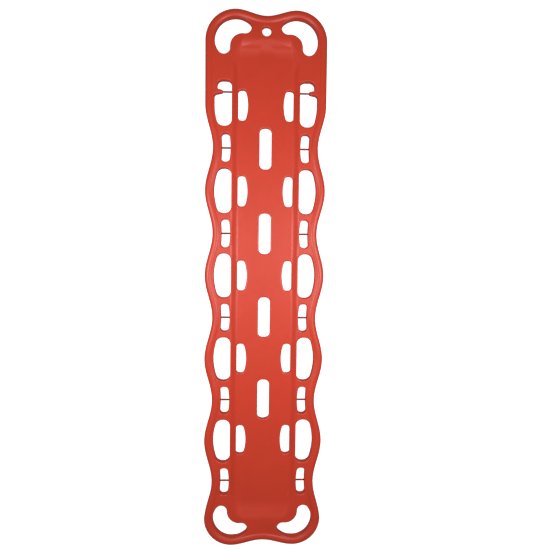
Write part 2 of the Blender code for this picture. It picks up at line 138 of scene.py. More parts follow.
# Pins and plugs
PIN_SIDES = 32
PIN_CHAMFER = 0.6 * MM
PIN_INSET = 0.8 * MM  # ring round a pin's flat end
PIN_SMOOTH = math.radians(40)
PLUG_SIDES = 48
PLUG_RIM = 0.16  # width of the rim in plug radii, as are the next two
PLUG_DISH = 0.30  # of the dished ring
PLUG_STEP = 0.04  # of the step round the grip
PLUG_DISH_DEPTH = 1.2 * MM
PLUG_GRIP_HEIGHT = 0.8 * MM
PLUG_EDGE = 0.3 * MM
PLUG_SMOOTH = math.radians(35)
EDGE_SEGMENTS = 3
END_FACING = 0.99  # an end face has at least this much of its normal along the axis

# Stage
FLOOR_SIZE = 60  # m, so that it fills the view from low down too
FLOOR_DROP = 0.3 * MM  # the floor lies this far under the board
SOFT_BOX_ASIDE, SOFT_BOX_Y, SOFT_BOX_HEIGHT = 0.7, 0.08, 1.25
SOFT_BOX_WIDTH, SOFT_BOX_LENGTH = 0.3, 0.6
SOFT_BOX_POWER = 10.6
AIR_LIGHT = 0.2
CAMERA_PLACE = (-0.0366, 0.126, 1.6945)
CAMERA_TURN = (-0.05556, -0.04349, 0.0112)
CAMERA_LENS, CAMERA_SENSOR = 31.778, 36  # mm


def linear(code):
    """The linear colour of an sRGB hex code."""
    channels = [int(code[i : i + 2], 16) / 255 for i in (0, 2, 4)]
    return tuple(c / 12.92 if c <= 0.04045 else ((c + 0.055) / 1.055) ** 2.4 for c in channels)


def size(name, description, default):
    return FloatProperty(name=name, description=description, default=default, unit="LENGTH")


def colour(name, description, code):
    return FloatVectorProperty(
        name=name, description=description, default=linear(code), subtype="COLOR", min=0, max=1
    )


class BoardSizes(PropertyGroup):
    """Sizes of the board's body."""

    length: size("Length", "Head end to foot end", BOARD_LENGTH)
    width: size("Width", "Across the bulges beside the handholds", BOARD_WIDTH)
    height: size("Height", "Floor to the crown of the rim", BOARD_HEIGHT)
    panel: size("Panel", "Thickness of the centre panel", 32 * MM)
    clearance: size("Clearance", "Floor to the underside of the wings", 19 * MM)
    rise: size("Rim rise", "Crown of the rim above the wings", 4 * MM)
    crown_setback: size("Crown setback", "Outer edge to the crown's highest line", 13.5 * MM)
    crown_radius: size("Crown radius", "Rounding across the crown", 16 * MM)
    shoulder_radius: size("Shoulder radius", "Rounding from the crown to the side", 8 * MM)
    gutter_radius: size("Gutter radius", "Hollow between the crown and the wing", 3.35 * MM)
    under_radius: size("Under radius", "Rounding of the lower edge", 9 * MM)
    slope_run: size("Slope run", "From the panel up to the wing, seen from above", 27 * MM)
    end_run: size("End run", "Run of the slope at each end of the recess", 58 * MM)
    recess_end: size("Recess end", "End of the board to the top of the recess slope", 92.5 * MM)
    recess_corner: size("Recess corner", "Corner radius of the recess floor", 30 * MM)
    wave: size("Wave", "How far the edge comes in at each waist", 26 * MM)
    head_corner: size("Head corner", "Corner radius of the head end", 102 * MM)
    foot_corner: size("Foot corner", "Corner radius of the foot end", 95 * MM)
    head_dip: size("Head dip", "Hollow in the middle of the head end", 20 * MM)
    foot_dip: size("Foot dip", "Hollow in the middle of the foot end", 18 * MM)


class OpeningSizes(PropertyGroup):
    """Sizes of the openings through the board, and of the pins and plugs."""

    head_zone: size("Head zone", "Head end to the first handhold row", 309.7 * MM)
    foot_zone: size("Foot zone", "Foot end to the last slot row", 228.3 * MM)
    web: size("Web", "Bridge between a handhold and the slot beside it", 21.4 * MM)
    rail: size("Rail", "Carrying rail between an opening and the edge", 30.5 * MM)
    strip: size("Strip", "Between the handholds and the inner slots", 21.5 * MM)
    hold_width: size("Handhold width", "Width of a handhold at its row", 58 * MM)
    hold_corner: size("Handhold corner", "Corner radius of a handhold", 24 * MM)
    strap_length: size("Strap slot length", "Length of a strap slot", 94 * MM)
    strap_corner: size("Strap slot corner", "Corner radius of a strap slot", 12 * MM)
    inner_length: size("Inner slot length", "Length of an inner slot", 102 * MM)
    inner_width: size("Inner slot width", "Width of an inner slot", 32.5 * MM)
    centre_length: size("Centre slot length", "Length of a centre slot", 138 * MM)
    centre_width: size("Centre slot width", "Width of a centre slot", 40 * MM)
    hanging_hole: size("Hanging hole", "Diameter of the hanging hole", 30 * MM)
    hanging_setback: size("Hanging hole setback", "Head end to the hanging hole", 72 * MM)
    end_rail: size("End rail", "Carrying rail between a corner handhold and the end", 26.5 * MM)
    head_outer: size("Head hold outer", "Radius of a head corner hold along the edge", 70.5 * MM)
    head_inner: size("Head hold inner", "Radius of its side towards the panel", 42 * MM)
    head_tip: size("Head hold tip", "Radius of its two tips", 21 * MM)
    head_shift_x: size("Head hold shift X", "Between the centres of its sides, across", 22.5 * MM)
    head_shift_y: size("Head hold shift Y", "Between the centres of its sides, along", 23.7 * MM)
    foot_outer: size("Foot hold outer", "Radius of a foot corner hold along the edge", 67.5 * MM)
    foot_inner: size("Foot hold inner", "Radius of its side towards the panel", 42.5 * MM)
    foot_tip: size("Foot hold tip", "Radius of its two tips", 20 * MM)
    foot_shift_x: size("Foot hold shift X", "Between the centres of its sides, across", 24 * MM)
    foot_shift_y: size("Foot hold shift Y", "Between the centres of its sides, along", 27 * MM)
    nose_reach: size("Nose reach", "The head pin's nose, from the rail", 28 * MM)
    nose_root: size("Nose root", "Half the nose's thickness at the rail", 8.5 * MM)
    nose_tip: size("Nose tip", "Thickness of the nose at its tip", 10 * MM)
    flare: size("Edge radius", "Rounding of the handholds' edges", 4 * MM)
    lip: size("Slot lip", "How far the top of a slot in the panel flares outward", 5 * MM)
    lip_depth: size("Slot lip depth", "Depth of that flare", 3 * MM)
    draft: size("Slot draft", "How far the underside of such a slot flares outward", 10 * MM)
    draft_depth: size("Slot draft depth", "Depth of that flare", 26 * MM)


class BoardColours(PropertyGroup):
    """Colours of the finishes."""

    shell: colour("Shell", "Moulded polyethylene", "D53D23")
    pin: colour("Pin", "Lacquered steel", "9E3324")
    plug: colour("Plug", "Moulded plug", "C23B30")
    foam: colour("Foam", "Rigid foam", "E6D7A8")
    rod: colour("Rod", "Pultruded composite", "26241F")
    floor: colour("Floor", "Studio floor", "F7F7F7")


# Flat loops of points, counterclockwise, as Vectors


def arc(centre, radius, start, end):
    """Points about centre from angle start to angle end, both included."""
    step = min(ARC_STEP, EDGE_SPACING / radius)
    count = max(2, math.ceil(abs(end - start) / step))
    angles = [start + (end - start) * i / count for i in range(count + 1)]
    return [centre + radius * Vector((math.cos(angle), math.sin(angle))) for angle in angles]


def rounded(corners):
    """The closed loop through corners of (x, y, radius), each rounded to its radius or to the
    largest that fits."""
    loop = []
    points = [Vector(corner[:2]) for corner in corners]
    for i, here in enumerate(points):
        radius = corners[i][2]
        if not radius:
            loop.append(here)
            continue
        back = (points[i - 1] - here).normalized()
        onward = (points[(i + 1) % len(points)] - here).normalized()
        half = back.angle(onward) / 2
        beside = [(i + step) % len(points) for step in (-1, 1)]
        room = min((points[j] - here).length * radius / (radius + corners[j][2]) for j in beside)
        radius = min(radius, CORNER_LIMIT * room * math.tan(half))
        centre = here + (back + onward).normalized() * radius / math.sin(half)
        start = (back * radius / math.tan(half) + here - centre).normalized()
        turn = math.copysign(math.pi - 2 * half, onward.cross(back))
        angle = math.atan2(start.y, start.x)
        loop += arc(centre, radius, angle, angle + turn)
    return loop


def spaced(loop):
    """The loop with points added along its long sides."""
    fine = []
    for here, following in zip(loop, loop[1:] + loop[:1]):
        count = max(1, round((following - here).length / EDGE_SPACING))
        fine += [here.lerp(following, i / count) for i in range(count)]
    return fine


def offset(loop, distance):
    """The loop moved outward by distance, with its corners kept sharp."""
    moved = []
    for i, here in enumerate(loop):
        first = (here - loop[i - 1]).normalized()
        second = (loop[(i + 1) % len(loop)] - here).normalized()
        outward = Vector((first.y + second.y, -first.x - second.x))
        moved.append(here + outward * distance / (1 + first.dot(second)))
    return moved


def mirrored(loop, axis):
    """The loop mirrored in x (axis 0) or y (axis 1), still counterclockwise."""
    flip = Vector((-1, 1)) if axis == 0 else Vector((1, -1))
    return [point * flip for point in reversed(loop)]


def span(low, high, count):
    return [low + (high - low) * i / (count - 1) for i in range(count)]


class Plan:
    """The board seen from above: its edge and every opening through it."""

    def __init__(self, board, holes):
        self.board, self.holes = board, holes
        self.half_length, self.half_width = board.length / 2, board.width / 2
        self.pitch = (board.length - holes.head_zone - holes.foot_zone) / (BAYS - 0.5)
        first = self.half_length - holes.head_zone
        self.hold_rows = [first - bay * self.pitch for bay in range(BAYS)]
        self.slot_rows = [row - self.pitch / 2 for row in self.hold_rows]
        self.hold_length = self.pitch - holes.strap_length - 2 * holes.web
        self.strip_outer = self.half_width - holes.rail - holes.hold_width
        self.strip_inner = self.strip_outer - holes.strip
        self.head_centre = Vector((self.half_width, self.half_length))
        self.head_centre -= Vector((board.head_corner, board.head_corner))
        foot_y = board.foot_corner - self.half_length
        self.foot_centre = Vector((self.edge_x(foot_y) - board.foot_corner, foot_y))
        self.pin_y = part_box("head_pin_right")[0].lerp(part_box("head_pin_right")[1], 0.5).y

    def edge_x(self, y):
        """Half the width at y: a wave below the first handhold row, straight above it."""
        first = self.hold_rows[0]
        phase = 2 * math.pi * (min(y, first) - first) / self.pitch
        return self.half_width - self.board.wave / 2 * (1 - math.cos(phase))

    def dip(self, apex, depth):
        """The right half of the hollow in the head end, out to just before x reaches apex, where
        the board is longest."""
        xs = span(0, apex, round(apex / EDGE_SPACING) + 1)[:-1]
        depths = [depth * (1 + math.cos(math.pi * x / apex)) / 2 for x in xs]
        return [Vector((x, self.half_length - below)) for x, below in zip(xs, depths)]

    def edge(self):
        """The board's outer edge."""
        board = self.board
        foot = [point * Vector((1, -1)) for point in self.dip(self.foot_centre.x, board.foot_dip)]
        foot += arc(self.foot_centre, board.foot_corner, -math.pi / 2, 0)[:-1]
        head = arc(self.head_centre, board.head_corner, 0, math.pi / 2)
        head += reversed(self.dip(self.head_centre.x, board.head_dip))
        length = self.head_centre.y - self.foot_centre.y
        ys = span(self.foot_centre.y, self.head_centre.y, round(length / EDGE_SPACING))[:-1]
        right = foot + [Vector((self.edge_x(y), y)) for y in ys] + head
        return right + mirrored(right[1:-1], 0)

    def handhold(self, row):
        """A handhold: straight along the strip, parallel to the edge along the rail."""
        holes, reach = self.holes, self.hold_length / 2
        low, high = row - reach, row + reach
        radius, rail = holes.hold_corner, holes.rail
        corners = [(self.strip_outer, high, radius), (self.strip_outer, low, radius)]
        corners.append((self.edge_x(low) - rail, low, radius))
        free = reach - HANDHOLD_STRAIGHT * radius
        ys = span(row - free, row + free, HANDHOLD_POINTS)
        corners += [(self.edge_x(y) - rail, y, 0) for y in ys]
        corners.append((self.edge_x(high) - rail, high, radius))
        return rounded(corners)

    def head_handhold(self):
        """An upper handhold, which the nose that seats the head pin nearly divides in two."""
        holes, reach = self.holes, self.hold_length / 2
        row, rail = self.hold_rows[0] + HEAD_HANDHOLD_SHIFT, holes.rail
        low, high, pin = row - reach, row + reach, self.pin_y
        outer = self.half_width - rail
        tip, upper = outer - holes.nose_reach, outer - HEAD_HANDHOLD_STEP
        half = holes.nose_tip / 2
        rounding = half * NOSE_TIP_ROUNDING
        corners = [(self.strip_outer, high, HEAD_HANDHOLD_CORNER)]
        corners.append((self.strip_outer, low, holes.hold_corner))
        corners.append((self.edge_x(low) - rail, low, holes.hold_corner))
        ys = span(low + HEAD_HANDHOLD_STRAIGHT, row, HEAD_HANDHOLD_POINTS)
        corners += [(self.edge_x(y) - rail, y, 0) for y in ys]
        corners.append((outer, pin - holes.nose_root, NOSE_FILLET))
        corners += [(tip, pin - half, rounding), (tip, pin + half, rounding)]
        corners.append((upper, pin + holes.nose_root - NOSE_TOP_STEP, NOSE_TOP_FILLET))
        corners.append((upper, high, HEAD_HANDHOLD_CORNER))
        return rounded(corners)

    def strap_slot(self, row):
        """A strap slot, widest where its pin crosses it."""
        holes, half = self.holes, self.holes.strap_length / 2
        widest, outer = self.strip_outer + STRAP_SLOT_SETBACK, self.edge_x(row) - holes.rail
        shares = span(STRAP_SLOT_CURVE, -STRAP_SLOT_CURVE, STRAP_SLOT_POINTS)
        corners = [(widest + STRAP_SLOT_BULGE, row + half, holes.strap_corner)]
        corners += [(widest + STRAP_SLOT_BULGE * t**2, row + half * t, 0) for t in shares]
        corners.append((widest + STRAP_SLOT_BULGE, row - half, holes.strap_corner))
        corners.append((outer + STRAP_SLOT_FLARE, row - half, holes.strap_corner))
        shares = span(-STRAP_SLOT_CURVE, STRAP_SLOT_CURVE, STRAP_SLOT_POINTS)
        corners += [(outer + STRAP_SLOT_FLARE * t**2, row + half * t, 0) for t in shares]
        corners.append((outer + STRAP_SLOT_FLARE, row + half, holes.strap_corner))
        return rounded(corners)

    def inner_slot(self, row):
        """A slot in the panel, straight along the strip and swelling towards the centre line."""
        half = self.holes.inner_length / 2
        widest = self.strip_inner - self.holes.inner_width
        shares = span(INNER_SLOT_CURVE, -INNER_SLOT_CURVE, INNER_SLOT_POINTS)
        corners = [(widest + INNER_SLOT_BULGE, row + half, INNER_SLOT_CORNER)]
        corners += [(widest + INNER_SLOT_BULGE * t**2, row + half * t, 0) for t in shares]
        corners.append((widest + INNER_SLOT_BULGE, row - half, INNER_SLOT_CORNER))
        corners += [(self.strip_inner, row + half * t, INNER_SLOT_CORNER) for t in (-1, 1)]
        return rounded(corners)

    def centre_slot(self, row):
        x, y = self.holes.centre_width / 2, self.holes.centre_length / 2
        signs = ((1, -1), (1, 1), (-1, 1), (-1, -1))
        return rounded([(x * i, row + y * j, CENTRE_SLOT_CORNER) for i, j in signs])

    def corner_hold(self, edge_x, outer, inner, tip, shift):
        """A kidney-shaped corner handhold at the head, where the board's edge is at edge_x. It lies
        between an arc along the edge and a smaller arc nearer the panel, with a round tip at each
        end."""
        holes = self.holes
        centre = Vector((edge_x - holes.rail - outer, self.half_length - holes.end_rail - outer))
        near, apart = centre - shift, shift.length
        reach = outer - tip
        along = (reach**2 - (inner + tip) ** 2 + apart**2) / (2 * apart)
        aside = math.sqrt(reach**2 - along**2)
        back = -shift.normalized()
        middles = [centre + back * along + back.orthogonal() * aside * sign for sign in (-1, 1)]
        low, high = sorted(middles, key=lambda middle: middle.y)

        def heading(start, end):
            return math.atan2(end.y - start.y, end.x - start.x)

        def tip_arc(middle, start, end):
            return arc(middle, tip, start, end + (2 * math.pi if end < start else 0))

        loop = arc(centre, outer, heading(centre, low), heading(centre, high))
        loop += tip_arc(high, heading(centre, high), heading(high, near))[1:]
        loop += arc(near, inner, heading(near, high), heading(near, low))[1:]
        loop += tip_arc(low, heading(low, near), heading(centre, low))[1:-1]
        return loop

    def openings(self):
        """(loop, lip outward, lip's depth, draft outward, draft's depth) of every opening."""
        holes = self.holes
        wing = (holes.flare,) * 4
        panel = (holes.lip, holes.lip_depth, holes.draft, holes.draft_depth)
        right = [(self.handhold(row), *wing) for row in self.hold_rows[1:]]
        right += [(self.strap_slot(row), *wing) for row in self.slot_rows]
        right += [(self.inner_slot(row), *panel) for row in self.hold_rows]
        right.append((self.head_handhold(), *(HEAD_HANDHOLD_FLARE, holes.flare) * 2))
        shift = Vector((holes.head_shift_x, holes.head_shift_y))
        head = (self.half_width, holes.head_outer, holes.head_inner, holes.head_tip, shift)
        right.append((self.corner_hold(*head), *wing))
        shift = Vector((holes.foot_shift_x, holes.foot_shift_y))
        edge_x = self.edge_x(self.foot_centre.y)
        foot = (edge_x, holes.foot_outer, holes.foot_inner, holes.foot_tip, shift)
        right.append((mirrored(self.corner_hold(*foot), 1), *wing))
        middle = [(self.centre_slot(row), *panel) for row in self.slot_rows[:-1]]
        hanging = Vector((0, self.half_length - holes.hanging_setback))
        middle.append((arc(hanging, holes.hanging_hole / 2, 0, 2 * math.pi)[:-1], *panel))
        return right + [(mirrored(loop, 0), *flare) for loop, *flare in right] + middle


# Heights over the plan, as arrays


def outside_box(points, half_x, half_y, corner):
    """How far each point lies outside a rounded rectangle about the origin."""
    past = np.abs(points) - (half_x - corner, half_y - corner)
    return np.hypot(*np.maximum(past, 0).T) + np.minimum(past.max(axis=1), 0) - corner


def slope_rise(share):
    """Rise of the slope at a share of its run: it curls up slowly and stops at a crisp edge."""
    xs = np.linspace(0, 1, SLOPE_SAMPLES)
    curl = np.clip(xs / SLOPE_CURL, 0, 1)
    steepness = curl**2 * (3 - 2 * curl) * np.clip((1 - xs) / SLOPE_CRISP, 0, 1)
    height = np.concatenate([[0], np.cumsum((steepness[1:] + steepness[:-1]) / 2)])
    return np.interp(share, xs, height / height[-1])


def nose_share(plan, points):
    """0 on the board, rising to 1 at the tip of the nose that seats the head pin."""
    outer = plan.half_width - plan.holes.rail
    along = np.clip((outer - np.abs(points[:, 0])) / NOSE_RUN, 0, 1)
    near = np.clip((NOSE_HALF_WIDTH - np.abs(points[:, 1] - plan.pin_y)) / NOSE_SIDE_RUN, 0, 1)
    on_nose = np.abs(points[:, 0]) > outer - NOSE_END
    return along**NOSE_CURVE * near * on_nose


def top_height(plan, points):
    board = plan.board
    wing = board.height - board.rise
    floor_x = plan.strip_outer - board.slope_run
    floor_y = plan.half_length - board.recess_end - board.end_run
    # The gentler slope at the ends is the side slope stretched along the board.
    stretch = board.slope_run / board.end_run
    away = outside_box(points * (1, stretch), floor_x, floor_y * stretch, board.recess_corner)
    height = board.panel + (wing - board.panel) * slope_rise(away / board.slope_run)
    return height - NOSE_THINNING * nose_share(plan, points)


def under_height(plan, points):
    board = plan.board
    floor_x, floor_y = plan.strip_outer - board.slope_run, plan.half_length - board.recess_end
    away = outside_box(points, floor_x, floor_y, board.recess_corner)
    height = board.clearance * slope_rise(away / board.slope_run)
    return height + NOSE_THINNING * nose_share(plan, points)


def rim_profile(board):
    """(distance in from the edge, drop of the top, rise of the underside) of each ring."""
    reach = board.crown_radius - board.shoulder_radius
    shoulder = math.asin((board.crown_setback - board.shoulder_radius) / reach)
    crown_z = board.rise - board.crown_radius
    centre_x = board.crown_setback - reach * math.sin(shoulder)
    centre_z = crown_z + reach * math.cos(shoulder)
    points = []
    for tilt in span(math.pi / 2, shoulder, SHOULDER_POINTS):
        x = centre_x - board.shoulder_radius * math.sin(tilt)
        points.append((x, centre_z + board.shoulder_radius * math.cos(tilt)))
    for tilt in span(-shoulder, CROWN_TURN, CROWN_POINTS)[1:]:
        x = board.crown_setback + board.crown_radius * math.sin(tilt)
        points.append((x, crown_z + board.crown_radius * math.cos(tilt)))
    middle = points[-1][0] + board.gutter_radius * math.sin(CROWN_TURN)
    for tilt in span(CROWN_TURN, 0, GUTTER_POINTS)[1:]:
        x = middle - board.gutter_radius * math.sin(tilt)
        points.append((x, board.gutter_radius * (1 - math.cos(tilt))))
    radius = board.under_radius
    rings = []
    for x, z in points:
        left = max(radius - x, 0)
        rings.append((x, -z, radius - math.sqrt(radius**2 - left**2)))
    return rings


def flare_profile(lip, lip_depth, draft, draft_depth):
    """(distance out from the opening, drop of the top, rise of the underside) of each ring."""
    turns = span(0, math.pi / 2, FLARE_STEPS + 1)
    wider = max(lip, draft)
    reaches = {lip, wider}
    distances = {
        round(reach * (1 - math.cos(turn)), FLARE_DIGITS) for reach in reaches for turn in turns
    }

    def fall(distance, reach, depth):
        left = max(1 - distance / reach, 0)
        return depth * (1 - math.sqrt(1 - left**2))

    rings = [
        (distance, fall(distance, lip, lip_depth), fall(distance, draft, draft_depth))
        for distance in sorted(distances)
    ]
    return rings + [(wider + FLAT_MARGIN, 0, 0)]


# Work in edit mode


def deselect():
    for item in bpy.context.selected_objects:
        item.select_set(False)


def active_object(name, mesh):
    """A new object, selected and active."""
    deselect()
    item = bpy.data.objects.new(name, mesh)
    bpy.context.scene.collection.objects.link(item)
    bpy.context.view_layer.objects.active = item
    item.select_set(True)
    return item


def select_faces(item, wanted):
    """Selects, in edit mode, only the faces for which wanted(face) is true."""
    bpy.ops.mesh.select_all(action="DESELECT")
    bpy.ops.mesh.select_mode(type="FACE")
    shape = bmesh.from_edit_mesh(item.data)
    for face in shape.faces:
        face.select_set(wanted(face))
    bmesh.update_edit_mesh(item.data)


def settle(item):
    """Puts the object's place into its mesh."""
    deselect()
    item.select_set(True)
    bpy.context.view_layer.objects.active = item
    bpy.ops.object.transform_apply(location=True, rotation=True, scale=True)


# Materials


def add_node(tree, kind, links=(), **settings):
    """A node with its settings, where links are (socket, value or (node, output))."""
    node = tree.nodes.new(kind)
    for name, value in settings.items():
        setattr(node, name, value)
    for socket, value in links:
        if isinstance(value, tuple) and isinstance(value[0], bpy.types.Node):
            tree.links.new(value[0].outputs[value[1]], node.inputs[socket])
        else:
            node.inputs[socket].default_value = value
    return node


def new_material(name, base, roughness, metallic=0.0):
    """(material, tree, shader) with the shader's constant values set."""
    made = bpy.data.materials.new(name)
    made.use_nodes = True
    tree = made.node_tree
    shader = tree.nodes["Principled BSDF"]
    shader.inputs["Base Color"].default_value = (*base, 1)
    shader.inputs["Roughness"].default_value = roughness
    shader.inputs["Metallic"].default_value = metallic
    made.diffuse_color = (*base, 1)
    return made, tree, shader


def moulded_polyethylene(base):
    """Rotationally moulded polyethylene: satin, with a faint orange peel from the mould's wall and
    a slight cloudiness where the powder melted together."""
    made, tree, shader = new_material("rotomoulded_polyethylene_satin", base, 0.40)
    shader.inputs["IOR"].default_value = 1.51
    place = add_node(tree, "ShaderNodeTexCoord")
    # Clouds of pigment about 60 mm across.
    cloud = add_node(
        tree,
        "ShaderNodeTexNoise",
        [
            ("Vector", (place, "Object")),
            ("Scale", 1 / (60 * MM)),
            ("Detail", 4.0),
            ("Roughness", 0.6),
        ],
    )
    tint = add_node(
        tree,
        "ShaderNodeMix",
        [
            (0, (cloud, "Fac")),
            (6, (*[c * 0.93 for c in base], 1)),
            (7, (*[min(c * 1.07, 1) for c in base], 1)),
        ],
        data_type="RGBA",
    )
    tree.links.new(tint.outputs[2], shader.inputs["Base Color"])
    # The sheen varies over patches about 25 mm across.
    patch = add_node(
        tree,
        "ShaderNodeTexNoise",
        [("Vector", (place, "Object")), ("Scale", 1 / (25 * MM)), ("Detail", 3.0)],
    )
    sheen = add_node(
        tree, "ShaderNodeMapRange", [("Value", (patch, "Fac")), ("To Min", 0.34), ("To Max", 0.46)]
    )
    tree.links.new(sheen.outputs["Result"], shader.inputs["Roughness"])
    # Orange peel about 3 mm across, drawn a little coarser than real so that it shows.
    peel = add_node(
        tree,
        "ShaderNodeTexNoise",
        [("Vector", (place, "Object")), ("Scale", 1 / (3.5 * MM)), ("Detail", 3.0)],
    )
    bump = add_node(
        tree,
        "ShaderNodeBump",
        [("Height", (peel, "Fac")), ("Strength", 0.35), ("Distance", 0.25 * MM)],
    )
    tree.links.new(bump.outputs["Normal"], shader.inputs["Normal"])
    return made


def lacquered_steel(base):
    """Cold-drawn steel rod under a thin dark red lacquer: the metal's shine comes through, with
    fine draw lines along it and a dull, broken gloss."""
    made, tree, shader = new_material("drawn_steel_red_lacquer", base, 0.38, 1.0)
    place = add_node(tree, "ShaderNodeTexCoord")
    # Draw lines run along X. They are drawn 0.8 mm apart, coarser than real, so that they show.
    stretch = add_node(
        tree, "ShaderNodeMapping", [("Vector", (place, "Object")), ("Scale", (0.03, 1, 1))]
    )
    lines = add_node(
        tree,
        "ShaderNodeTexNoise",
        [("Vector", (stretch, "Vector")), ("Scale", 1 / (0.8 * MM)), ("Detail", 4.0)],
    )
    gloss = add_node(
        tree, "ShaderNodeMapRange", [("Value", (lines, "Fac")), ("To Min", 0.28), ("To Max", 0.5)]
    )
    tree.links.new(gloss.outputs["Result"], shader.inputs["Roughness"])
    bump = add_node(
        tree,
        "ShaderNodeBump",
        [("Height", (lines, "Fac")), ("Strength", 0.3), ("Distance", 0.05 * MM)],
    )
    tree.links.new(bump.outputs["Normal"], shader.inputs["Normal"])
    return made


def moulded_plug(base):
    """Injection-moulded polyethylene plug: smoother and glossier than the shell."""
    made, tree, shader = new_material("injection_moulded_polyethylene", base, 0.32)
    shader.inputs["IOR"].default_value = 1.51
    place = add_node(tree, "ShaderNodeTexCoord")
    # The sheen varies over patches about 4 mm across.
    patch = add_node(
        tree,
        "ShaderNodeTexNoise",
        [("Vector", (place, "Object")), ("Scale", 1 / (4 * MM)), ("Detail", 2.0)],
    )
    sheen = add_node(
        tree, "ShaderNodeMapRange", [("Value", (patch, "Fac")), ("To Min", 0.28), ("To Max", 0.36)]
    )
    tree.links.new(sheen.outputs["Result"], shader.inputs["Roughness"])
    return made


def closed_cell_foam(base):
    """Rigid polyurethane foam poured in place: dull, with closed cells under a millimetre wide."""
    made, tree, shader = new_material("rigid_polyurethane_foam", base, 0.95)
    place = add_node(tree, "ShaderNodeTexCoord")
    # Cells of 0.8 mm.
    cells = add_node(
        tree,
        "ShaderNodeTexVoronoi",
        [("Vector", (place, "Object")), ("Scale", 1 / (0.8 * MM))],
    )
    bump = add_node(
        tree,
        "ShaderNodeBump",
        [("Height", (cells, "Distance")), ("Strength", 0.6), ("Distance", 0.3 * MM)],
    )
    tree.links.new(bump.outputs["Normal"], shader.inputs["Normal"])
    return made


def pultruded_composite(base):
    """Pultruded glass-fibre rod: dark resin with straight fibre lines along it."""
    made, tree, shader = new_material("pultruded_glass_fibre", base, 0.45)
    place = add_node(tree, "ShaderNodeTexCoord")
    # Fibre bundles about 0.5 mm wide run along Y.
    stretch = add_node(
        tree, "ShaderNodeMapping", [("Vector", (place, "Object")), ("Scale", (1, 0.02, 1))]
    )
    fibres = add_node(
        tree,
        "ShaderNodeTexNoise",
        [("Vector", (stretch, "Vector")), ("Scale", 1 / (0.5 * MM)), ("Detail", 3.0)],
    )
    shade = add_node(
        tree,
        "ShaderNodeMix",
        [(0, (fibres, "Fac")), (6, (*base, 1)), (7, (*[min(c * 3, 1) for c in base], 1))],
        data_type="RGBA",
    )
    tree.links.new(shade.outputs[2], shader.inputs["Base Color"])
    return made


def studio_floor(base):
    """Seamless paper lit from behind, so that it stays evenly white."""
    made, _, shader = new_material("backlit_paper", base, 0.9)
    shader.inputs["Emission Color"].default_value = (1, 1, 1, 1)
    shader.inputs["Emission Strength"].default_value = 1
    return made


# Operators


